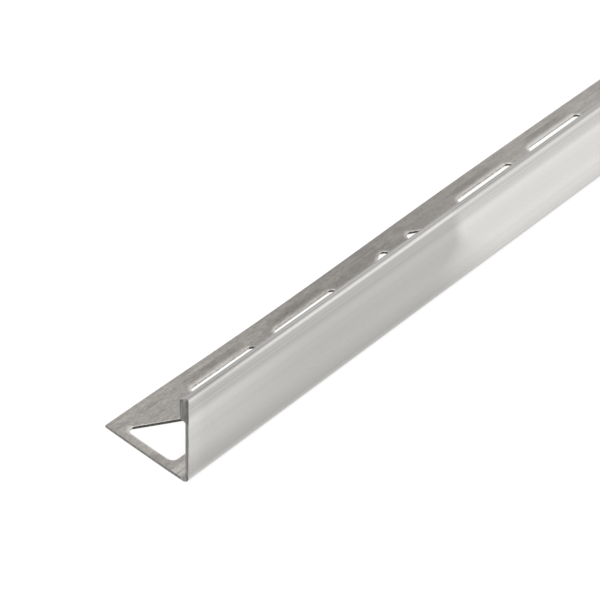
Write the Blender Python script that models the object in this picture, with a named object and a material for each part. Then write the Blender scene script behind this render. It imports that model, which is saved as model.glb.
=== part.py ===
"""Tile edge trim: an extruded aluminium angle with a thick visible head and a punched fixing flange."""

import math

import bmesh
import bpy

# Whole trim, in metres: length along X, visible face at -Y, free edge of the flange at +Y, up is Z
LENGTH = 1.000
HEIGHT = 0.025
WIDTH = 0.0256

# Upright leg and the thick head that carries the visible edge
LEG_THICKNESS = 0.0010
HEAD_WIDTH = 0.00267
HEAD_HEIGHT = 0.0074
HEAD_DRAFT = 0.00012
HEAD_SLOPE = math.radians(36.5)
HEAD_OUTER_RADIUS = 0.00055
HEAD_INNER_RADIUS = 0.0012
HEAD_UNDER_RADIUS = 0.0003
HEAD_FILLET = 0.0005

# Fixing flange, thinner towards its free edge
FLANGE_ROOT_THICKNESS = 0.0009
FLANGE_EDGE_THICKNESS = 0.0007
FLANGE_EDGE_RADIUS = 0.0002
INNER_FILLET = 0.0022
OUTER_CORNER_RADIUS = 0.00215

# Punched holes: pairs of right triangles, each pair shares one bay with a diagonal web
FIRST_RIM = 0.0021
BAY_LENGTH = 0.0409
CROSS_WEB = 0.0071
HOLE_DEPTH = 0.0140
FREE_RIM = 0.0049
DIAGONAL_WEB = 0.0071
LEAST_NOTCH = 0.0010
DIAGONAL_ANGLE = math.radians(31.4)
SQUARE_CORNER_RADIUS = 0.0016
APEX_RADIUS = 0.0014
ACUTE_RADIUS = 0.0012

# Rounded edge that the punch leaves on the upper side of every hole
ROLL_WIDTH = 0.00055
ROLL_DEPTH = 0.00022

# Fineness of the arcs, and how far the cutter stands clear of the flange
SECTION_ARC_STEP = math.radians(15)
HOLE_ARC_STEP = math.radians(18)
CUTTER_MARGIN = 0.0020
SURFACE_CLEARANCE = 0.00005

ALUMINIUM_COLOUR = (0.75, 0.74, 0.72, 1.0)
ALUMINIUM_ROUGHNESS = 0.35

# Plan position of the row of holes, measured from the visible face
HOLE_FREE_SIDE = WIDTH - FREE_RIM
HOLE_LEG_SIDE = HOLE_FREE_SIDE - HOLE_DEPTH
BAY_PITCH = BAY_LENGTH + CROSS_WEB


def clear_scene():
    """Remove every object of the file the script starts in."""
    for item in list(bpy.data.objects):
        bpy.data.objects.remove(item, do_unlink=True)


def flange_top(depth):
    """Height of the upper side of the flange at a distance from the visible face."""
    share = (depth - LEG_THICKNESS) / (WIDTH - LEG_THICKNESS)
    return FLANGE_ROOT_THICKNESS + (FLANGE_EDGE_THICKNESS - FLANGE_ROOT_THICKNESS) * share


def round_corner(before, corner, after, radius, step):
    """Points of the arc that replaces one corner of an outline."""
    ax, ay = before[0] - corner[0], before[1] - corner[1]
    bx, by = after[0] - corner[0], after[1] - corner[1]
    a_length = math.hypot(ax, ay)
    b_length = math.hypot(bx, by)
    ax, ay = ax / a_length, ay / a_length
    bx, by = bx / b_length, by / b_length
    opening = math.acos(max(-1.0, min(1.0, ax * bx + ay * by)))
    turn = math.pi - opening
    reach = radius / math.tan(opening / 2)
    out = radius / math.sin(opening / 2)
    mid_x, mid_y = ax + bx, ay + by
    mid_length = math.hypot(mid_x, mid_y)
    centre_x = corner[0] + mid_x / mid_length * out
    centre_y = corner[1] + mid_y / mid_length * out
    start = math.atan2(corner[1] + ay * reach - centre_y, corner[0] + ax * reach - centre_x)
    side = 1.0 if ax * by - ay * bx < 0 else -1.0
    count = max(2, math.ceil(turn / step))
    points = []
    for index in range(count + 1):
        angle = start + side * turn * index / count
        points.append((centre_x + radius * math.cos(angle), centre_y + radius * math.sin(angle)))
    return points


def rounded_outline(corners, step):
    """Closed outline through corners given as (u, v, radius)."""
    points = []
    total = len(corners)
    for index, (u, v, radius) in enumerate(corners):
        before = corners[index - 1]
        after = corners[(index + 1) % total]
        points.extend(round_corner(before, (u, v), after, radius, step))
    return points


def head_top(depth):
    """Height of the sloping top of the head, extended to a distance from the visible face."""
    half_opening = (math.pi / 2 - HEAD_SLOPE) / 2
    peak = HEIGHT + HEAD_OUTER_RADIUS * (1 / math.tan(half_opening) - 1)
    return peak - depth * math.tan(HEAD_SLOPE)


def section_outline():
    """Cross section of the trim: distance from the visible face, and height."""
    head_bottom = HEIGHT - HEAD_HEIGHT
    corners = [
        (0.0, 0.0, OUTER_CORNER_RADIUS),
        (WIDTH, 0.0, FLANGE_EDGE_RADIUS),
        (WIDTH, FLANGE_EDGE_THICKNESS, FLANGE_EDGE_RADIUS),
        (LEG_THICKNESS, FLANGE_ROOT_THICKNESS, INNER_FILLET),
        (LEG_THICKNESS, head_bottom, HEAD_FILLET),
        (HEAD_WIDTH - HEAD_DRAFT, head_bottom, HEAD_UNDER_RADIUS),
        (HEAD_WIDTH, head_top(HEAD_WIDTH), HEAD_INNER_RADIUS),
        (0.0, head_top(0.0), HEAD_OUTER_RADIUS),
    ]
    return rounded_outline(corners, SECTION_ARC_STEP)


def mesh_object(name, rings):
    """Closed solid through rings of equal count, capped at both ends."""
    shape = bmesh.new()
    rows = []
    for ring in rings:
        rows.append([shape.verts.new(point) for point in ring])
    count = len(rows[0])
    for lower, upper in zip(rows, rows[1:]):
        for index in range(count):
            following = (index + 1) % count
            shape.faces.new((lower[index], lower[following], upper[following], upper[index]))
    shape.faces.new(list(reversed(rows[0])))
    shape.faces.new(rows[-1])
    bmesh.ops.recalc_face_normals(shape, faces=shape.faces)
    mesh = bpy.data.meshes.new(name)
    shape.to_mesh(mesh)
    shape.free()
    item = bpy.data.objects.new(name, mesh)
    bpy.context.scene.collection.objects.link(item)
    return item


def extruded_body():
    """The plain extrusion before punching."""
    outline = section_outline()
    rings = []
    for x in (-LENGTH / 2, LENGTH / 2):
        rings.append([(x, depth - WIDTH / 2, height) for depth, height in outline])
    return mesh_object("edge_trim", rings)


def bay_count():
    """Number of bays that start before the far end, where the saw may cut through the last one."""
    return math.ceil((LENGTH - FIRST_RIM - LEAST_NOTCH) / BAY_PITCH)


def bay_triangle(growth):
    """The hole of a bay with its square corner at the leg, as seen from the middle of the bay."""
    half_length = BAY_LENGTH / 2
    half_depth = HOLE_DEPTH / 2
    half_web = DIAGONAL_WEB / 2
    apex = (half_length * math.sin(DIAGONAL_ANGLE) - half_web) / math.cos(DIAGONAL_ANGLE)
    acute = (half_depth * math.cos(DIAGONAL_ANGLE) - half_web) / math.sin(DIAGONAL_ANGLE)
    square = (-half_length, -half_depth)
    grow_x = growth * (1 / math.sin(DIAGONAL_ANGLE) + 1 / math.tan(DIAGONAL_ANGLE))
    grow_y = growth * (1 / math.cos(DIAGONAL_ANGLE) + math.tan(DIAGONAL_ANGLE))
    corners = [
        (square[0] - growth, square[1] - growth, SQUARE_CORNER_RADIUS + growth),
        (acute + grow_x, square[1] - growth, ACUTE_RADIUS + growth),
        (square[0] - growth, apex + grow_y, APEX_RADIUS + growth),
    ]
    return rounded_outline(corners, HOLE_ARC_STEP)


def punch_rings(bay, leg_side):
    """Rings of the cutter for one hole of one bay, from below the flange to above it."""
    middle_x = -LENGTH / 2 + FIRST_RIM + BAY_LENGTH / 2 + bay * BAY_PITCH
    middle_depth = (HOLE_FREE_SIDE + HOLE_LEG_SIDE) / 2
    flip_x = -1.0 if bay % 2 else 1.0
    turn = 1.0 if leg_side else -1.0
    shoulder = 1.0 - math.cos(math.radians(60))
    rise = 1.0 - math.sin(math.radians(60))
    levels = [
        (0.0, None, -CUTTER_MARGIN),
        (0.0, -ROLL_DEPTH, 0.0),
        (ROLL_WIDTH * shoulder, -ROLL_DEPTH * rise, 0.0),
        (ROLL_WIDTH, SURFACE_CLEARANCE, 0.0),
        (ROLL_WIDTH, CUTTER_MARGIN, 0.0),
    ]
    rings = []
    for growth, above_top, fixed in levels:
        ring = []
        for u, v in bay_triangle(growth):
            depth = middle_depth + turn * v
            height = fixed if above_top is None else flange_top(depth) + above_top
            ring.append((middle_x + flip_x * turn * u, depth - WIDTH / 2, height))
        rings.append(ring)
    return rings


def hole_cutter():
    """All punched holes as one cutting object."""
    cutter = bpy.data.objects.new("hole_cutter", bpy.data.meshes.new("hole_cutter"))
    bpy.context.scene.collection.objects.link(cutter)
    shape = bmesh.new()
    for bay in range(bay_count()):
        for leg_side in (True, False):
            rings = punch_rings(bay, leg_side)
            if min(point[0] for point in rings[0]) > LENGTH / 2 - LEAST_NOTCH:
                continue
            single = mesh_object("punch", rings)
            shape.from_mesh(single.data)
            bpy.data.objects.remove(single, do_unlink=True)
    shape.to_mesh(cutter.data)
    shape.free()
    cutter.hide_render = True
    cutter.display_type = "WIRE"
    return cutter


def cut_holes(body, cutter):
    """Subtract the cutter from the extrusion and drop the cutter."""
    modifier = body.modifiers.new("punched holes", "BOOLEAN")
    modifier.operation = "DIFFERENCE"
    modifier.solver = "EXACT"
    modifier.object = cutter
    bpy.context.view_layer.update()
    graph = bpy.context.evaluated_depsgraph_get()
    result = bpy.data.meshes.new_from_object(body.evaluated_get(graph))
    body.modifiers.clear()
    body.data = result
    body.data.name = body.name
    bpy.data.objects.remove(cutter, do_unlink=True)


def aluminium():
    """Bare extruded aluminium."""
    material = bpy.data.materials.new("aluminium")
    material.use_nodes = True
    shader = material.node_tree.nodes["Principled BSDF"]
    shader.inputs["Base Color"].default_value = ALUMINIUM_COLOUR
    shader.inputs["Metallic"].default_value = 1.0
    shader.inputs["Roughness"].default_value = ALUMINIUM_ROUGHNESS
    return material


def build():
    """Make the trim."""
    clear_scene()
    body = extruded_body()
    cut_holes(body, hole_cutter())
    body.data.materials.clear()
    body.data.materials.append(aluminium())


build()
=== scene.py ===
import math
from collections import namedtuple

import bmesh
import bpy
from mathutils import Euler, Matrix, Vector
from mathutils.geometry import delaunay_2d_cdt


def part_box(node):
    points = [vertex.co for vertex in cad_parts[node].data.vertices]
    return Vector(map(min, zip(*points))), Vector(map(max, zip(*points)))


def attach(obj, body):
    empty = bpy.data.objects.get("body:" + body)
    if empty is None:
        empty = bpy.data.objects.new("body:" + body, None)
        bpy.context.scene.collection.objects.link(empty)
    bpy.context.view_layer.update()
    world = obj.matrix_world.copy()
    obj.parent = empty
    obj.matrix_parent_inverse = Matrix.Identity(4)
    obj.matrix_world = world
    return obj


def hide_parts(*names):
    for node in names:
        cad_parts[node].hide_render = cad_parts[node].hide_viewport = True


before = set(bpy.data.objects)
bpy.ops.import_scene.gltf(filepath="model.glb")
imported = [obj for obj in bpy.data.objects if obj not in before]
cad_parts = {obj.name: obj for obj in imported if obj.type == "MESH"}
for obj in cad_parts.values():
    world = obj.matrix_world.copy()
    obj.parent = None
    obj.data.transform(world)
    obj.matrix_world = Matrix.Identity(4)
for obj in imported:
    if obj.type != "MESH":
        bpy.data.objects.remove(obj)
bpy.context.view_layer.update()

# Whole trim, from the frame: the near end is at the lowest X, the visible face at the lowest Y
LOW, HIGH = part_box("edge_trim")
LENGTH, WIDTH, HEIGHT = HIGH - LOW

# Upright leg and the thick head that carries the visible edge
LEG_THICKNESS = 0.0010
HEAD_WIDTH = 0.00267
HEAD_HEIGHT = 0.00705
HEAD_DRAFT = 0.00012
HEAD_SLOPE = math.radians(36.5)
HEAD_OUTER_RADIUS = 0.00055
HEAD_INNER_RADIUS = 0.0012
HEAD_UNDER_RADIUS = 0.0003
HEAD_FILLET = 0.0005

# Fixing flange, thinner towards its free edge
FLANGE_ROOT_THICKNESS = 0.0009
FLANGE_EDGE_THICKNESS = 0.0007
FLANGE_EDGE_RADIUS = 0.0002
INNER_FILLET = 0.0022
OUTER_CORNER_RADIUS = 0.00215

# Punched holes: pairs of right triangles, each pair shares one bay with a diagonal web
FIRST_RIM = 0.0021
BAY_LENGTH = 0.0409
CROSS_WEB = 0.0071
HOLE_DEPTH = 0.0140
FREE_RIM = 0.0049
DIAGONAL_WEB = 0.0071
LEAST_NOTCH = 0.0010
DIAGONAL_ANGLE = math.radians(31.4)
LEG_SIDE_INSET = 0.00008
SQUARE_CORNER_RADIUS = 0.0016
APEX_RADIUS = 0.0014
ACUTE_RADIUS = 0.00145
BAY_PITCH = BAY_LENGTH + CROSS_WEB

# Edge that the punch pulls down on the upper side, and the metal round it
ROLL_WIDTH = 0.00055
ROLL_DEPTH = 0.00022
HALO_WIDTH = 0.0004
DISH_WIDTH = 0.0022
DISH_DEPTH = 0.00003

# Dish from its rim inwards: share of its width, share of its depth, how much painted shade and how much
# painted highlight it takes
DISH_PROFILE = ((1.0, 0.0, 0.0, 0.0), (0.7, 0.3, 0.75, 0.0), (0.3, 0.75, 1.0, 0.0), (0.05, 1.0, 0.4, 0.1))

# Halo between the dish and the rolled edge: share of its width, and how bright its painted highlight is
# there
HALO_SHARE, HALO_BRIGHT = 0.4, 0.5

# Gang of punches that repeats its own marks: error along the trim and towards the free edge, how far
# it pulls down the edge of a shaded wall as a share of the full roll, and the burr it leaves there
PUNCHES = (
    (0.00006, 0.0, 0.35, 0.00010),
    (-0.0006, 0.0, 0.7, 0.0),
    (-0.0001, 0.0, 0.7, 0.0),
    (0.0004, 0.00018, 0.7, 0.0),
)

# Directions into a hole, along and across the trim, between which its wall turns from shade to light,
# and directions across the trim between which the metal beside the wall takes the painted shade of the dish
LIT_ALONG = (-0.45, -0.05)
LIT_ACROSS = (0.3, -0.3)
DISH_SHADE_ACROSS = (-0.9, -1.0)

# The punched wall is sheared smooth above and torn slightly wider below
SHEARED_SHARE = 0.45
TEAR_WIDTH = 0.00005

# One ring of a hole: growth, height as a share of the flange, drop, and how much painted shade and
# painted light it takes; the wall takes this many rings below the rolled edge
Level = namedtuple("Level", "growth share drop dull bright")
WALL_LEVELS = 2

# Waves that punching leaves in the flange: a mean, and two waves as (height, start, length)
WAVE_MEAN = 0.00011
WAVES = ((0.00028, -0.0138, 0.1586), (0.00009, 0.0014, 0.0988))

# How much the free edge lifts for a wave, and how quickly the lift and the draw-in grow towards it
LIFT_PER_WAVE = 1.5
LIFT_POWER = 1.8
DRAW_IN_POWER = 3

# The leg dips a little between its ends, most at the top: depth, start and length of one dip
LEG_DIP, LEG_DIP_START, LEG_DIP_LENGTH = 0.00030, -0.018, 0.168

# Fineness of the mesh; the slack keeps a turn of whole steps from being split once more, and the
# raw length stands past both ends by the saw allowance
SECTION_ARC_STEP = math.radians(9)
HOLE_ARC_STEP = math.radians(10)
ARC_SLACK = 0.001
ROLL_STEPS = 6
STATION_STEP = 0.0082
HOLE_SIDE_STEP = 0.006
SAW_ALLOWANCE = 0.006
MERGE_DISTANCE = 1e-7
PANEL_TOLERANCE = 1e-9
SHARP_ANGLE = math.radians(50)
FLATNESS = 80

# Camera of the photograph, measured from the near, outer, lower corner of the trim
CAMERA_PLACE = Vector((-0.28057, -0.26759, 0.38315))
CAMERA_TURN = Euler((math.radians(49.596), math.radians(-1.654), math.radians(-48.294)))
CAMERA_LENS = 150.0
CAMERA_CLIP = 0.01

# Studio dome: its brightest horizontal direction, limits of the turn towards it, strengths at them
BRIGHT_SIDE = (0.55, -0.80, 0.0)
DOME_LIMITS = (-0.1, 0.85)
DOME_STRENGTHS = (0.60, 1.08)

# Soft lamp above the trim, aimed at the origin
LAMP_PLACE = Vector((-1.0, -0.6, 1.3))
LAMP_SIZE = 1.2
LAMP_POWER = 12.0

# Floor just under the trim; its glow is what the camera and reflections see
FLOOR_HALF = 20.0
FLOOR_GAP = 0.0002
FLOOR_COLOUR = (0.35, 0.35, 0.35, 1.0)
FLOOR_GLOW = 0.76

# Colours of the bare metal, by finish; the punched walls and sawn ends are dark partly from their torn and
# sawn metal and partly as painted shade
DRAWN_COLOUR = (0.745, 0.730, 0.705)
MILL_COLOUR = (0.745, 0.710, 0.672)
PUNCHED_COLOUR = (0.10, 0.097, 0.092)
SAWN_COLOUR = (0.22, 0.216, 0.208)

# Roughness of the visible face, and of the others at the limits of their grain
DRAWN_ROUGHNESS = 0.31
MILL_ROUGHNESS = (0.46, 0.36)
PUNCHED_ROUGHNESS = (0.6, 0.45)
SAWN_ROUGHNESS = (0.55, 0.4)

# Relief of the grain
MILL_RELIEF = 0.00002
PUNCHED_RELIEF = 0.00003
SAWN_RELIEF = 0.00003

# Grain: size of its features along X, Y and Z, detail, two limits in the noise and the tones at them
Grain = namedtuple("Grain", "size detail limits tones wobble", defaults=(0.0,))
DRAWN_FINE = Grain((0.35, 0.0005, 0.0005), 2.0, (0.3, 0.7), (0.99, 1.01))
DRAWN_BROAD = Grain((0.22, 0.0009, 0.0009), 2.0, (0.3, 0.7), (0.98, 1.02))
DRAWN_SPECKLE = Grain((0.0012, 0.0004, 0.0004), 2.0, (0.3, 0.7), (0.982, 1.018))
DIE_LINES = Grain((0.16, 0.0012, 0.00045), 2.0, (0.35, 0.65), (0.89, 1.07))
MILL_FINE = Grain((0.12, 0.0003, 0.0003), 3.0, (0.3, 0.7), (0.93, 1.04))
MILL_BROAD = Grain((0.20, 0.0016, 0.0016), 3.0, (0.3, 0.7), (0.91, 1.06))
MILL_MOTTLE = Grain((0.0045, 0.0018, 0.0018), 4.0, (0.3, 0.7), (0.90, 1.07), wobble=0.5)
MILL_SPECKLE = Grain((0.0010, 0.0005, 0.0005), 3.0, (0.3, 0.7), (0.90, 1.10))
CROSS_STROKES = Grain((0.0005, 0.0050, 0.0050), 1.0, (0.66, 0.72), (1.0, 1.12))
DENTS = Grain((0.0016, 0.0005, 0.0005), 2.0, (0.62, 0.72), (1.0, 0.78))
SCUFFS = Grain((0.0100, 0.0006, 0.0006), 2.0, (0.60, 0.70), (1.0, 0.86))
ROOT_LINES = Grain((0.15, 0.00045, 0.00045), 2.0, (0.35, 0.65), (0.86, 1.12))
TORN_MARKS = Grain((0.0003, 0.0003, 0.004), 3.0, (0.3, 0.7), (0.7, 1.3))
SAW_MARKS = Grain((0.01, 0.00030, 0.003), 3.0, (0.3, 0.7), (0.80, 1.20), wobble=0.5)

# Lines that the die leaves on the visible face, with painted shade low down and a painted highlight along
# its top edge: tone by height above the floor
FACE_TONES = (
    (0.0009, 0.58), (0.0012, 0.68), (0.0021, 0.56), (0.0030, 0.49), (0.0050, 0.54), (0.0083, 0.61),
    (0.0120, 0.59), (0.0165, 0.59), (0.0186, 0.67), (0.0200, 0.58), (0.0208, 0.55), (0.0220, 0.56),
    (0.0228, 0.60), (0.0238, 0.64), (0.0242, 0.80), (0.0245, 1.10), (0.0247, 1.38), (0.0250, 0.60),
)

# Painted reflection: the same by height in the bright band, as a change
REFLECTION_BAND_TONES = (
    (0.0012, 0.88), (0.0018, 1.10), (0.0023, 1.42), (0.0030, 1.55), (0.0045, 1.55), (0.0060, 1.51),
    (0.0110, 1.45), (0.0190, 1.44), (0.0202, 1.36), (0.0218, 1.32), (0.0228, 1.22), (0.0236, 1.18),
    (0.0242, 0.98), (0.0247, 0.78), (0.0250, 0.96),
)

# And towards the near end, which catches more light, as a change; strongest on its last millimetres
GLEAM_TONES = (
    (0.0024, 1.06), (0.0034, 0.98), (0.0058, 0.98), (0.0085, 1.09), (0.0110, 1.14), (0.0165, 1.18),
    (0.0190, 1.24), (0.0204, 1.10), (0.0218, 1.06), (0.0224, 0.92), (0.0234, 1.08), (0.0241, 0.98),
    (0.0244, 0.88), (0.0247, 0.62), (0.0250, 0.85),
)
GLEAM_LENGTH = 0.045
RIM_GLEAM_FADE = (0.001, 0.006)
RIM_GLEAM_TONE = 1.09

# Sloping top of the head: tone by distance from the visible face, with a painted highlight along its outer
# edge
HEAD_TOP_TONES = (
    (0.0001, 1.00), (0.0003, 1.16), (0.0005, 1.42), (0.0007, 1.34), (0.0009, 0.74), (0.0012, 0.36),
    (0.0016, 0.42), (0.0026, 0.60),
)

# Die lines: depths below the top where they begin and are full, and their fading past the outer edge
DIE_LINES_BELOW_TOP = (0.0044, 0.0036)
OUTER_EDGE_DEPTHS = (0.0002, 0.0006)
DIE_LINES_ON_TOP = 0.35

# A colour ramp holds no tone above 1, so that tones go in as a share of this
TONE_SCALE = 2.0

# Painted reflection: bright bands along the length of the visible face with darker ones between; they end
# softly low down
BAND_PITCH = 0.35
DULL_MIDDLE = -0.0022
DULL_LENGTH = 0.198
BAND_SLANT = 0.30
BAND_SOFTNESS = (0.30, 0.045)
BAND_SOFTNESS_HEIGHTS = (0.004, 0.016)

# The flange looks darkest where its wave tilts it away from the light
SAG_MIDDLE = 0.085
SAG_PITCH = 0.159
SAG_DARKENING = 0.12

# Its speckle and strokes are weaker away from the near end
CALM_SHARE = 0.35
CALM_FADE = (0.02, 0.15)

# It is brighter and more streaked where it turns up into the leg
ROOT_TONE = 1.36
ROOT_DEPTHS = (0.0040, 0.0065)

# Tones of the painted shade in the dish and of the painted highlight on the pulled edge beside a hole,
# and of the lit part of its wall
DISH_SHADE_TONE = 0.74
BRIGHT_TONE = 1.42
LIT_WALL_MARKS = (0.5, 1.0)
LIT_WALL_TONE = 4.5

# Saw marks of the ends: tone by distance from the visible face
END_TONES = (
    (0.0001, 1.30), (0.0003, 0.46), (0.0007, 0.70), (0.0010, 0.95), (0.0013, 0.88),
    (0.0018, 0.86), (0.0022, 1.02), (0.0026, 0.76), (0.0034, 0.68),
)

# Burr along the sloping top of an end, shown as a painted highlight: depths below the slope, then tones
# by distance from the face
BURR_DEPTHS = (0.0010, 0.0004)
BURR_PLACES = (0.0014, 0.0019)
BURR_GLINT_TONES = (1.5, 0.7)

# The leg's end is brighter than that of the head: how far from the underside of the head it changes
END_TONE_BELOW_HEAD = 1.4
NECK_FADE = (-0.0010, 0.0006)

# Finishes, in the order of the material slots of the trim
DRAWN, MILL, PUNCHED, SAWN = range(4)


def flange_top(depth):
    """Height of the upper side of the flange at a distance from the visible face."""
    share = (depth - LEG_THICKNESS) / (WIDTH - LEG_THICKNESS)
    return FLANGE_ROOT_THICKNESS + (FLANGE_EDGE_THICKNESS - FLANGE_ROOT_THICKNESS) * share


def round_corner(before, corner, after, radius, step):
    """Points of the arc that replaces one corner of an outline."""
    corner = Vector(corner)
    towards_before = (Vector(before) - corner).normalized()
    towards_after = (Vector(after) - corner).normalized()
    opening = towards_before.angle(towards_after)
    turn = math.pi - opening
    centre = corner + (towards_before + towards_after).normalized() * radius / math.sin(opening / 2)
    first = corner + towards_before * radius / math.tan(opening / 2) - centre
    start = math.atan2(first.y, first.x)
    side = math.copysign(1.0, towards_after.cross(towards_before))
    count = max(2, math.ceil(turn / step - ARC_SLACK))
    points = []
    for index in range(count + 1):
        angle = start + side * turn * index / count
        points.append(centre + radius * Vector((math.cos(angle), math.sin(angle))))
    return points


def corner_arcs(corners, step):
    """Arcs at the corners of a closed outline, each corner given as its place and radius."""
    arcs = []
    for index, (corner, radius) in enumerate(corners):
        before = corners[index - 1][0]
        after = corners[(index + 1) % len(corners)][0]
        arcs.append(round_corner(before, corner, after, radius, step))
    return arcs


def counter_clockwise(loop):
    """The same loop of vertices, turned so that it runs counter-clockwise seen from above."""
    area = 0.0
    for first, second in zip(loop, loop[1:] + loop[:1]):
        area += first.co.x * second.co.y - second.co.x * first.co.y
    return loop if area > 0 else loop[::-1]


def head_top(depth):
    """Height of the sloping top of the head, extended to a distance from the visible face."""
    half_opening = (math.pi / 2 - HEAD_SLOPE) / 2
    peak = HEIGHT + HEAD_OUTER_RADIUS * (1 / math.tan(half_opening) - 1)
    return peak - depth * math.tan(HEAD_SLOPE)


def section_arcs():
    """Arcs at the corners of the section, each point as distance from the visible face and height."""
    head_bottom = HEIGHT - HEAD_HEIGHT
    corners = [
        ((0.0, 0.0), OUTER_CORNER_RADIUS),
        ((WIDTH, 0.0), FLANGE_EDGE_RADIUS),
        ((WIDTH, FLANGE_EDGE_THICKNESS), FLANGE_EDGE_RADIUS),
        ((LEG_THICKNESS, FLANGE_ROOT_THICKNESS), INNER_FILLET),
        ((LEG_THICKNESS, head_bottom), HEAD_FILLET),
        ((HEAD_WIDTH - HEAD_DRAFT, head_bottom), HEAD_UNDER_RADIUS),
        ((HEAD_WIDTH, head_top(HEAD_WIDTH)), HEAD_INNER_RADIUS),
        ((0.0, head_top(0.0)), HEAD_OUTER_RADIUS),
    ]
    return corner_arcs(corners, SECTION_ARC_STEP)


def bay_count():
    """Number of bays that start before the far end, where the saw may cut through the last one."""
    return math.ceil((LENGTH - FIRST_RIM - LEAST_NOTCH) / BAY_PITCH)


def bay_triangle(growth, inset):
    """Corners and radii of one hole of a bay, grown by a distance, from the bay's middle."""
    half_length = BAY_LENGTH / 2
    half_depth = HOLE_DEPTH / 2 - inset
    half_web = DIAGONAL_WEB / 2
    apex = (half_length * math.sin(DIAGONAL_ANGLE) - half_web) / math.cos(DIAGONAL_ANGLE)
    acute = (half_depth * math.cos(DIAGONAL_ANGLE) - half_web) / math.sin(DIAGONAL_ANGLE)
    grow_x = growth * (1 / math.sin(DIAGONAL_ANGLE) + 1 / math.tan(DIAGONAL_ANGLE))
    grow_y = growth * (1 / math.cos(DIAGONAL_ANGLE) + math.tan(DIAGONAL_ANGLE))
    return [
        ((-half_length - growth, -half_depth - growth), SQUARE_CORNER_RADIUS + growth),
        ((acute + grow_x, -half_depth - growth), ACUTE_RADIUS + growth),
        ((-half_length - growth, apex + grow_y), APEX_RADIUS + growth),
    ]


def hole_outline(growth, inset):
    """Closed outline of that hole, its long sides split so that they can follow the waves."""
    arcs = corner_arcs(bay_triangle(growth, inset), HOLE_ARC_STEP)
    splits = [math.ceil(side / HOLE_SIDE_STEP) for side in (BAY_LENGTH / 2, BAY_LENGTH / 2, HOLE_DEPTH)]
    outline = []
    for index, arc in enumerate(arcs):
        outline.extend(arc)
        following = arcs[(index + 1) % len(arcs)][0]
        for part in range(1, splits[index]):
            outline.append(arc[-1].lerp(following, part / splits[index]))
    return outline


def hole_levels():
    """Rings of a hole from the top down."""
    rim = ROLL_WIDTH + HALO_WIDTH
    levels = []
    for width, depth, dull, bright in DISH_PROFILE:
        levels.append(Level(rim + DISH_WIDTH * width, 1.0, DISH_DEPTH * depth, dull, bright))
    levels.append(Level(ROLL_WIDTH + HALO_WIDTH * HALO_SHARE, 1.0, DISH_DEPTH, 0.0, HALO_BRIGHT))
    for index in range(ROLL_STEPS + 1):
        angle = math.pi / 2 * (1 - index / ROLL_STEPS)
        drop = DISH_DEPTH + (ROLL_DEPTH - DISH_DEPTH) * (1 - math.sin(angle))
        levels.append(Level(ROLL_WIDTH * (1 - math.cos(angle)), 1.0, drop, 0.0, 1.0))
    levels.append(Level(0.0, SHEARED_SHARE, 0.0, 0.0, 1.0))
    levels.append(Level(TEAR_WIDTH, 0.0, 0.0, 0.0, 1.0))
    return levels


def wall_directions(outline):
    """Direction into the hole at each point of its outline."""
    directions = []
    for before, after in zip(outline[-1:] + outline[:-1], outline[1:] + outline[:1]):
        run = (after - before).normalized()
        directions.append(Vector((-run.y, run.x)))
    return directions


def ease(value, low, high):
    """0 below one limit, 1 above the other and smooth between them."""
    share = min(1.0, max(0.0, (value - low) / (high - low)))
    return share * share * (3 - 2 * share)


def fading(outline):
    """For each point of a hole's outline, 1 at the middle of its length and 0 at its ends."""
    first = min(point.x for point in outline)
    last = max(point.x for point in outline)
    return [math.sqrt(abs(math.sin(math.pi * (point.x - first) / (last - first)))) for point in outline]


def hole_rings(bay, leg_side):
    """Rings of one hole as (distance along, distance from the face, height, painted shade, painted light).
    """
    error_along, error_across, pull, burr = PUNCHES[bay % len(PUNCHES)]
    middle_along = FIRST_RIM + BAY_LENGTH / 2 + bay * BAY_PITCH + error_along
    middle_depth = WIDTH - FREE_RIM - HOLE_DEPTH / 2 + error_across
    flip = -1.0 if bay % 2 else 1.0
    turn = 1.0 if leg_side else -1.0
    inset = LEG_SIDE_INSET if leg_side else 0.0
    plain = hole_outline(0.0, inset)
    ways = [Vector((flip * turn * way.x, turn * way.y)) for way in wall_directions(plain)]
    lit = [ease(way.x, *LIT_ALONG) * ease(way.y, *LIT_ACROSS) for way in ways]
    # Where beside the wall the painted shade of the dish falls
    dish_shade_share = [fade * ease(way.y, *DISH_SHADE_ACROSS) for way, fade in zip(ways, fading(plain))]
    rings = []
    for level in hole_levels():
        wide = hole_outline(level.growth, inset)
        tight = hole_outline(level.growth * pull if level.share > 0 else -burr, inset)
        on_rim = level.share == 1.0 and level.growth > 0
        ring = []
        for index, light in enumerate(lit):
            point = tight[index].lerp(wide[index], light)
            pulled = pull + (1 - pull) * light
            along = middle_along + flip * turn * point.x
            depth = middle_depth + turn * point.y
            height = flange_top(depth) * level.share - level.drop * pulled
            bright = level.bright * (pulled if on_rim else light)
            ring.append((along, depth, height, level.dull * dish_shade_share[index], bright))
        rings.append(ring)
    return rings


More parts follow.
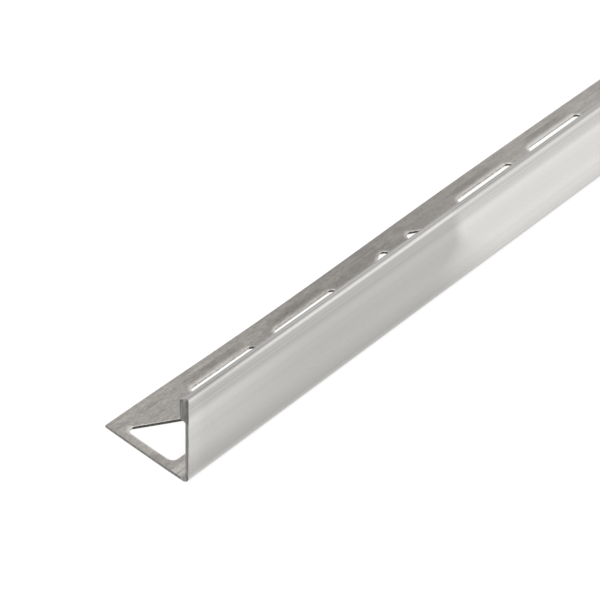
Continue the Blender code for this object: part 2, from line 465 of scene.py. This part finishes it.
class TrimMesh:
    """The trim while it is built: places are distance along, distance from the visible face, height."""

    def __init__(self):
        self.shape = bmesh.new()
        # Marks for painted shade in the dishes and painted light at the edges and walls of the holes
        self.dull = self.shape.verts.layers.float.new("dull")
        self.bright = self.shape.verts.layers.float.new("bright")
        self.level = self.shape.verts.layers.float.new("level")

    def vertex(self, along, depth, height, dull=0.0, bright=0.0):
        """One vertex with its marks of painted shade and painted light, and its height before any wave or
        dip.
        """
        made = self.shape.verts.new((along, depth, height))
        made[self.dull] = dull
        made[self.bright] = bright
        made[self.level] = height
        return made

    def skin(self, rows, finish, closed):
        """Faces between rows of vertices of equal count."""
        for lower, upper in zip(rows, rows[1:]):
            count = len(lower)
            for index in range(count if closed else count - 1):
                following = (index + 1) % count
                corners = (lower[index], lower[following], upper[following], upper[index])
                self.shape.faces.new(corners).material_index = finish

    def panel(self, border, holes, finish):
        """Triangles inside a border of vertices, outside the rings of vertices of the holes."""
        loops = [counter_clockwise(loop) for loop in [border] + holes]
        vertices = [vertex for loop in loops for vertex in loop]
        places = [Vector((vertex.co.x, vertex.co.y)) for vertex in vertices]
        faces = []
        start = 0
        for loop in loops:
            faces.append(list(range(start, start + len(loop))))
            start += len(loop)
        _, _, triangles, origins, _, sources = delaunay_2d_cdt(places, [], faces, 0, PANEL_TOLERANCE)
        for triangle, wanted in zip(triangles, sources):
            if wanted == [0]:
                corners = [vertices[origins[index][0]] for index in triangle]
                self.shape.faces.new(corners).material_index = finish


def stations():
    """Distances along the raw length, which is longer than the trim at both ends."""
    first = -SAW_ALLOWANCE
    last = FIRST_RIM + bay_count() * BAY_PITCH + SAW_ALLOWANCE
    count = math.ceil((last - first) / STATION_STEP)
    return [first + (last - first) * index / count for index in range(count + 1)]


def sweep(mesh, chain, finish):
    """Skin along a chain of section points; returns its first and last edge."""
    rows = []
    for along in stations():
        rows.append([mesh.vertex(along, point.x, point.y) for point in chain])
    mesh.skin(rows, finish, closed=False)
    return [row[0] for row in rows], [row[-1] for row in rows]


def punched_holes(mesh):
    """Rolled edges and walls of all holes; returns their upper and lower rings."""
    upper, lower = [], []
    for bay in range(bay_count()):
        for leg_side in (True, False):
            rings = hole_rings(bay, leg_side)
            if min(place[0] for place in rings[-1]) > LENGTH - LEAST_NOTCH:
                continue
            rows = [[mesh.vertex(*place) for place in ring] for ring in rings]
            edge = len(rows) - 1 - WALL_LEVELS
            mesh.skin(rows[:edge + 1], MILL, closed=True)
            mesh.skin(rows[edge:], PUNCHED, closed=True)
            upper.append(rows[0])
            lower.append(rows[-1])
    return upper, lower


def saw_off(shape, place, direction):
    """Cut the raw length square and close the cut."""
    everything = shape.verts[:] + shape.edges[:] + shape.faces[:]
    cut = bmesh.ops.bisect_plane(
        shape, geom=everything, dist=MERGE_DISTANCE, plane_co=place, plane_no=direction, clear_outer=True
    )
    rim = [item for item in cut["geom_cut"] if isinstance(item, bmesh.types.BMEdge)]
    filled = bmesh.ops.triangle_fill(shape, use_beauty=True, use_dissolve=False, edges=rim)
    for item in filled["geom"]:
        if isinstance(item, bmesh.types.BMFace):
            item.material_index = SAWN
            item.smooth = False


def wave(along):
    """How far the free edge stands out of line at a distance along the trim."""
    total = WAVE_MEAN
    for height, start, length in WAVES:
        total += height * math.cos(2 * math.pi * (along - start) / length)
    return total


def follow_waves(shape):
    """Lift the flange where its wave stands out, draw it in where the wave stands back, dip the leg."""
    root = LEG_THICKNESS + INNER_FILLET
    for vertex in shape.verts:
        along, depth, height = vertex.co
        if depth > root and height < HEIGHT / 2:
            share = (depth - root) / (WIDTH - root)
            vertex.co.y += min(wave(along), 0.0) * share ** DRAW_IN_POWER
            vertex.co.z += max(wave(along), 0.0) * share ** LIFT_POWER * LIFT_PER_WAVE
        if height > root:
            turn = 2 * math.pi * (along - LEG_DIP_START) / LEG_DIP_LENGTH
            vertex.co.z -= LEG_DIP * (1 - math.cos(turn)) / 2 * (height - root) / (HEIGHT - root)


def trim_shape():
    """The trim as one closed shape with fine rounded edges."""
    mesh = TrimMesh()
    arcs = section_arcs()
    edge_chain = arcs[1] + arcs[2]
    inner_chain = arcs[3] + arcs[4] + arcs[5]
    outer_chain = arcs[5][-1:] + arcs[6] + arcs[7] + arcs[0]
    edge_under, edge_over = sweep(mesh, edge_chain, MILL)
    inner_foot, _ = sweep(mesh, inner_chain, MILL)
    _, outer_foot = sweep(mesh, outer_chain, DRAWN)
    upper, lower = punched_holes(mesh)
    mesh.panel(inner_foot + edge_over[::-1], upper, MILL)
    mesh.panel(outer_foot + edge_under[::-1], lower, MILL)
    shape = mesh.shape
    bmesh.ops.remove_doubles(shape, verts=shape.verts, dist=MERGE_DISTANCE)
    for face in shape.faces:
        face.smooth = True
    follow_waves(shape)
    saw_off(shape, (0.0, 0.0, 0.0), (-1.0, 0.0, 0.0))
    saw_off(shape, (LENGTH, 0.0, 0.0), (1.0, 0.0, 0.0))
    bmesh.ops.recalc_face_normals(shape, faces=shape.faces)
    bmesh.ops.translate(shape, verts=shape.verts, vec=LOW)
    return shape


def trim_profile():
    """The trim as an object, in place of the plain solid."""
    shape = trim_shape()
    data = bpy.data.meshes.new("trim_profile")
    shape.to_mesh(data)
    shape.free()
    data.set_sharp_from_angle(angle=SHARP_ANGLE)
    profile = bpy.data.objects.new("trim_profile", data)
    bpy.context.scene.collection.objects.link(profile)
    even = profile.modifiers.new("flat faces stay flat", "WEIGHTED_NORMAL")
    even.keep_sharp = True
    even.weight = FLATNESS
    return profile


def add_node(tree, kind, inputs=None, **settings):
    """One shader node; an input is set to a value, or linked where a socket is given."""
    made = tree.nodes.new(kind)
    for name, value in settings.items():
        setattr(made, name, value)
    for key, value in (inputs or {}).items():
        if isinstance(value, bpy.types.NodeSocket):
            tree.links.new(value, made.inputs[key])
        else:
            made.inputs[key].default_value = value
    return made


def maths(tree, operation, first, second=0.0):
    """Result of one sum on numbers or sockets."""
    return add_node(tree, "ShaderNodeMath", {0: first, 1: second}, operation=operation).outputs[0]


def product(tree, values):
    """All values multiplied."""
    total = values[0]
    for value in values[1:]:
        total = maths(tree, "MULTIPLY", total, value)
    return total


def spread(tree, value, limits, results, smooth=True):
    """Value between two limits mapped to a value between two results, held past the limits."""
    inputs = {
        "Value": value,
        "From Min": limits[0],
        "From Max": limits[1],
        "To Min": results[0],
        "To Max": results[1],
    }
    kind = "SMOOTHSTEP" if smooth else "LINEAR"
    return add_node(tree, "ShaderNodeMapRange", inputs, interpolation_type=kind).outputs[0]


def partly(tree, share, change):
    """A change of tone, taken only in part: 1 where the share is 0."""
    return maths(tree, "ADD", 1.0, maths(tree, "MULTIPLY", share, maths(tree, "SUBTRACT", change, 1.0)))


def mark(tree, name):
    """One of the marks that the mesh carries at its vertices."""
    return add_node(tree, "ShaderNodeAttribute", attribute_name=name).outputs["Fac"]


def place_on_trim(tree):
    """Distance along the trim, distance from the visible face and height, each as a socket."""
    place = add_node(tree, "ShaderNodeTexCoord").outputs["Object"]
    parts = add_node(tree, "ShaderNodeSeparateXYZ", {0: place}).outputs
    return [maths(tree, "SUBTRACT", part, low) for part, low in zip(parts, LOW)]


def noise(tree, grain):
    """Noise whose features have the size of a grain."""
    place = add_node(tree, "ShaderNodeTexCoord").outputs["Object"]
    scale = tuple(1 / part for part in grain.size)
    sized = add_node(tree, "ShaderNodeMapping", {"Vector": place, "Scale": scale})
    inputs = {"Vector": sized.outputs[0], "Scale": 1.0, "Detail": grain.detail, "Distortion": grain.wobble}
    return add_node(tree, "ShaderNodeTexNoise", inputs).outputs[0]


def grain_tone(tree, grain, source=None):
    """Tone of a grain, from its own noise or from noise that is there already."""
    return spread(tree, source or noise(tree, grain), grain.limits, grain.tones)


def tone_curve(tree, value, stops):
    """Smooth curve through (value, tone) stops, held at the ends."""
    first, last = stops[0][0], stops[-1][0]
    share = spread(tree, value, (first, last), (0.0, 1.0), smooth=False)
    ramp = add_node(tree, "ShaderNodeValToRGB", {0: share})
    ramp.color_ramp.interpolation = "B_SPLINE"
    while len(ramp.color_ramp.elements) < len(stops):
        ramp.color_ramp.elements.new(0.5)
    for element, (place, tone) in zip(ramp.color_ramp.elements, stops):
        element.position = (place - first) / (last - first)
        element.color = (tone / TONE_SCALE, tone / TONE_SCALE, tone / TONE_SCALE, 1.0)
    return maths(tree, "MULTIPLY", ramp.outputs[0], TONE_SCALE)


def metal(name, colour):
    """New metal material; returns it with its tree and shader."""
    material = bpy.data.materials.new(name)
    material.use_nodes = True
    shader = material.node_tree.nodes["Principled BSDF"]
    shader.inputs["Metallic"].default_value = 1.0
    shader.inputs["Base Color"].default_value = (*colour, 1.0)
    return material, material.node_tree, shader


def shade_colour(tree, shader, colour, brightness):
    """Link a colour times a brightness to the shader."""
    scaled = add_node(tree, "ShaderNodeVectorMath", {0: colour, "Scale": brightness}, operation="SCALE")
    tree.links.new(scaled.outputs[0], shader.inputs["Base Color"])


def vary_roughness(tree, shader, source, grain, roughness):
    """Link the roughness to the noise of a grain, so that it has the given values at its limits."""
    tree.links.new(spread(tree, source, grain.limits, roughness), shader.inputs["Roughness"])


def bump(tree, shader, height, distance):
    """Link a relief of the given depth to the shader."""
    node = add_node(tree, "ShaderNodeBump", {"Height": height, "Distance": distance, "Strength": 1.0})
    tree.links.new(node.outputs[0], shader.inputs["Normal"])


def reflection_band(tree, along, height):
    """1 where the painted reflection makes the visible face bright along its length, 0 in the darker bands
    between.
    """
    slanted = maths(tree, "ADD", along, maths(tree, "MULTIPLY", height, BAND_SLANT))
    turns = maths(tree, "MULTIPLY", maths(tree, "SUBTRACT", slanted, DULL_MIDDLE), 2 * math.pi / BAND_PITCH)
    swing = maths(tree, "COSINE", turns)
    edge = math.cos(math.pi * DULL_LENGTH / BAND_PITCH)
    softness = spread(tree, height, BAND_SOFTNESS_HEIGHTS, BAND_SOFTNESS)
    limits = (maths(tree, "ADD", edge, softness), maths(tree, "SUBTRACT", edge, softness))
    return spread(tree, swing, limits, (0.0, 1.0))


def sag_tone(tree, along):
    """Darkening of the flange along its wave."""
    turns = maths(tree, "MULTIPLY", maths(tree, "SUBTRACT", along, SAG_MIDDLE), 2 * math.pi / SAG_PITCH)
    swing = maths(tree, "COSINE", turns)
    return spread(tree, swing, (-1.0, 1.0), (1.0, 1.0 - 2 * SAG_DARKENING), smooth=False)


def drawn_finish():
    """Visible face and head: bright, with lines that the die leaves along the length, painted highlights
    along the top edge and towards the near end, painted shade low down and bands of painted reflection.
    """
    material, tree, shader = metal("drawn_face", DRAWN_COLOUR)
    along, depth, _ = place_on_trim(tree)
    height = mark(tree, "level")
    lines_begin, lines_full = (HEIGHT - below for below in DIE_LINES_BELOW_TOP)
    on_head = spread(tree, height, (lines_begin, lines_full), (0.0, 1.0))
    off_top = spread(tree, depth, OUTER_EDGE_DEPTHS, (1.0, DIE_LINES_ON_TOP))
    near = spread(tree, along, (0.0, GLEAM_LENGTH), (1.0, 0.0))
    brightness = product(tree, [
        grain_tone(tree, DRAWN_FINE),
        grain_tone(tree, DRAWN_BROAD),
        grain_tone(tree, DRAWN_SPECKLE),
        # Die lines, with painted shade low down and a painted highlight along the top edge
        tone_curve(tree, height, FACE_TONES),
        # Painted highlight along the outer edge of the sloping top
        tone_curve(tree, depth, HEAD_TOP_TONES),
        # Painted reflection in bands along the length
        partly(tree, reflection_band(tree, along, height), tone_curve(tree, height, REFLECTION_BAND_TONES)),
        partly(tree, near, tone_curve(tree, height, GLEAM_TONES)),
        spread(tree, along, RIM_GLEAM_FADE, (RIM_GLEAM_TONE, 1.0)),
        partly(tree, maths(tree, "MULTIPLY", on_head, off_top), grain_tone(tree, DIE_LINES)),
    ])
    shade_colour(tree, shader, DRAWN_COLOUR, brightness)
    shader.inputs["Roughness"].default_value = DRAWN_ROUGHNESS
    return material


def mill_finish():
    """Flange and inner side: matt and mottled, with heavier lines along the length, painted shade along its
    wave and in the dishes beside the holes, and painted highlights on their pulled edges.
    """
    material, tree, shader = metal("mill_flange", MILL_COLOUR)
    along, depth, _ = place_on_trim(tree)
    fine = noise(tree, MILL_FINE)
    mottle = noise(tree, MILL_MOTTLE)
    strength = spread(tree, along, CALM_FADE, (1.0, CALM_SHARE))
    near_leg = spread(tree, depth, ROOT_DEPTHS, (1.0, 0.0))
    brightness = product(tree, [
        grain_tone(tree, MILL_FINE, fine),
        grain_tone(tree, MILL_BROAD),
        grain_tone(tree, MILL_MOTTLE, mottle),
        partly(tree, strength, grain_tone(tree, MILL_SPECKLE)),
        partly(tree, strength, grain_tone(tree, CROSS_STROKES)),
        grain_tone(tree, DENTS),
        grain_tone(tree, SCUFFS),
        partly(tree, near_leg, grain_tone(tree, ROOT_LINES)),
        spread(tree, near_leg, (0.0, 1.0), (1.0, ROOT_TONE)),
        sag_tone(tree, along),
        # Painted shade in the dishes beside the holes, and painted highlight on their pulled edges
        spread(tree, mark(tree, "dull"), (0.0, 1.0), (1.0, DISH_SHADE_TONE)),
        spread(tree, mark(tree, "bright"), (0.0, 1.0), (1.0, BRIGHT_TONE)),
    ])
    shade_colour(tree, shader, MILL_COLOUR, brightness)
    vary_roughness(tree, shader, mottle, MILL_MOTTLE, MILL_ROUGHNESS)
    bump(tree, shader, fine, MILL_RELIEF)
    return material


def punched_finish():
    """Walls of the holes: torn grey metal with marks down the wall, brighter where the light falls."""
    material, tree, shader = metal("punched_wall", PUNCHED_COLOUR)
    marks = noise(tree, TORN_MARKS)
    brightness = product(tree, [
        grain_tone(tree, TORN_MARKS, marks),
        spread(tree, mark(tree, "bright"), LIT_WALL_MARKS, (1.0, LIT_WALL_TONE)),
    ])
    shade_colour(tree, shader, PUNCHED_COLOUR, brightness)
    vary_roughness(tree, shader, marks, TORN_MARKS, PUNCHED_ROUGHNESS)
    bump(tree, shader, marks, PUNCHED_RELIEF)
    return material


def sawn_finish():
    """Ends: upright marks of the saw, a painted highlight on the burr along the top of the head and a
    brighter leg.
    """
    material, tree, shader = metal("sawn_end", SAWN_COLOUR)
    _, depth, height = place_on_trim(tree)
    marks = noise(tree, SAW_MARKS)
    levelled = maths(tree, "ADD", height, maths(tree, "MULTIPLY", depth, math.tan(HEAD_SLOPE)))
    burr_begins, burr_full = (head_top(0.0) - below for below in BURR_DEPTHS)
    near_top = spread(tree, levelled, (burr_begins, burr_full), (0.0, 1.0))
    neck_limits = [HEIGHT - HEAD_HEIGHT + offset for offset in NECK_FADE]
    brightness = product(tree, [
        grain_tone(tree, SAW_MARKS, marks),
        tone_curve(tree, depth, END_TONES),
        # Painted highlight on the burr along the sloping top
        partly(tree, near_top, spread(tree, depth, BURR_PLACES, BURR_GLINT_TONES)),
        spread(tree, height, neck_limits, (END_TONE_BELOW_HEAD, 1.0)),
    ])
    shade_colour(tree, shader, SAWN_COLOUR, brightness)
    vary_roughness(tree, shader, marks, SAW_MARKS, SAWN_ROUGHNESS)
    bump(tree, shader, marks, SAWN_RELIEF)
    return material


def seen_directly(tree):
    """1 for rays of the camera and for those that metal or glass sends on, 0 for soft light."""
    path = add_node(tree, "ShaderNodeLightPath")
    either = maths(tree, "MAXIMUM", path.outputs["Is Camera Ray"], path.outputs["Is Glossy Ray"])
    return maths(tree, "MAXIMUM", either, path.outputs["Is Transmission Ray"])


def white_floor():
    """Plain pale floor that keeps a soft shadow and shows white elsewhere."""
    data = bpy.data.meshes.new("floor")
    corners = [(x * FLOOR_HALF, y * FLOOR_HALF, 0.0) for x, y in ((-1, -1), (1, -1), (1, 1), (-1, 1))]
    data.from_pydata(corners, [], [(0, 1, 2, 3)])
    floor = bpy.data.objects.new("floor", data)
    floor.location.z = LOW.z - FLOOR_GAP
    bpy.context.scene.collection.objects.link(floor)
    material = bpy.data.materials.new("white_floor")
    material.use_nodes = True
    tree = material.node_tree
    tree.nodes.clear()
    matt = add_node(tree, "ShaderNodeBsdfDiffuse", {"Color": FLOOR_COLOUR})
    strength = maths(tree, "MULTIPLY", seen_directly(tree), FLOOR_GLOW)
    glow = add_node(tree, "ShaderNodeEmission", {"Strength": strength})
    both = add_node(tree, "ShaderNodeAddShader", {0: matt.outputs[0], 1: glow.outputs[0]})
    add_node(tree, "ShaderNodeOutputMaterial", {"Surface": both.outputs[0]})
    data.materials.append(material)


def soft_world():
    """Pale studio dome, brighter on the side of the visible face."""
    world = bpy.data.worlds.new("studio")
    bpy.context.scene.world = world
    world.use_nodes = True
    tree = world.node_tree
    tree.nodes.clear()
    direction = add_node(tree, "ShaderNodeTexCoord").outputs["Generated"]
    towards = add_node(tree, "ShaderNodeVectorMath", {0: direction, 1: BRIGHT_SIDE}, operation="DOT_PRODUCT")
    level = spread(tree, towards.outputs["Value"], DOME_LIMITS, DOME_STRENGTHS)
    sky = add_node(tree, "ShaderNodeBackground", {"Strength": level})
    add_node(tree, "ShaderNodeOutputWorld", {"Surface": sky.outputs[0]})


def overhead_lamp():
    """Large soft lamp above the trim."""
    data = bpy.data.lights.new("overhead_lamp", "AREA")
    data.shape = "RECTANGLE"
    data.size = LAMP_SIZE
    data.size_y = LAMP_SIZE
    data.energy = LAMP_POWER
    lamp = bpy.data.objects.new("overhead_lamp", data)
    lamp.location = LAMP_PLACE
    lamp.rotation_euler = (-LAMP_PLACE).to_track_quat("-Z", "Y").to_euler()
    lamp.visible_camera = False
    bpy.context.scene.collection.objects.link(lamp)


def photo_camera():
    """Camera at the viewpoint of the photograph."""
    data = bpy.data.cameras.new("camera")
    data.lens = CAMERA_LENS
    data.clip_start = CAMERA_CLIP
    camera = bpy.data.objects.new("camera", data)
    camera.location = LOW + CAMERA_PLACE
    camera.rotation_euler = CAMERA_TURN
    bpy.context.scene.collection.objects.link(camera)
    bpy.context.scene.camera = camera


bpy.context.scene.view_settings.view_transform = "Standard"
photo_camera()
white_floor()
soft_world()
overhead_lamp()

trim = trim_profile()
for finish in (drawn_finish(), mill_finish(), punched_finish(), sawn_finish()):
    trim.data.materials.append(finish)
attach(trim, "root")
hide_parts("edge_trim")
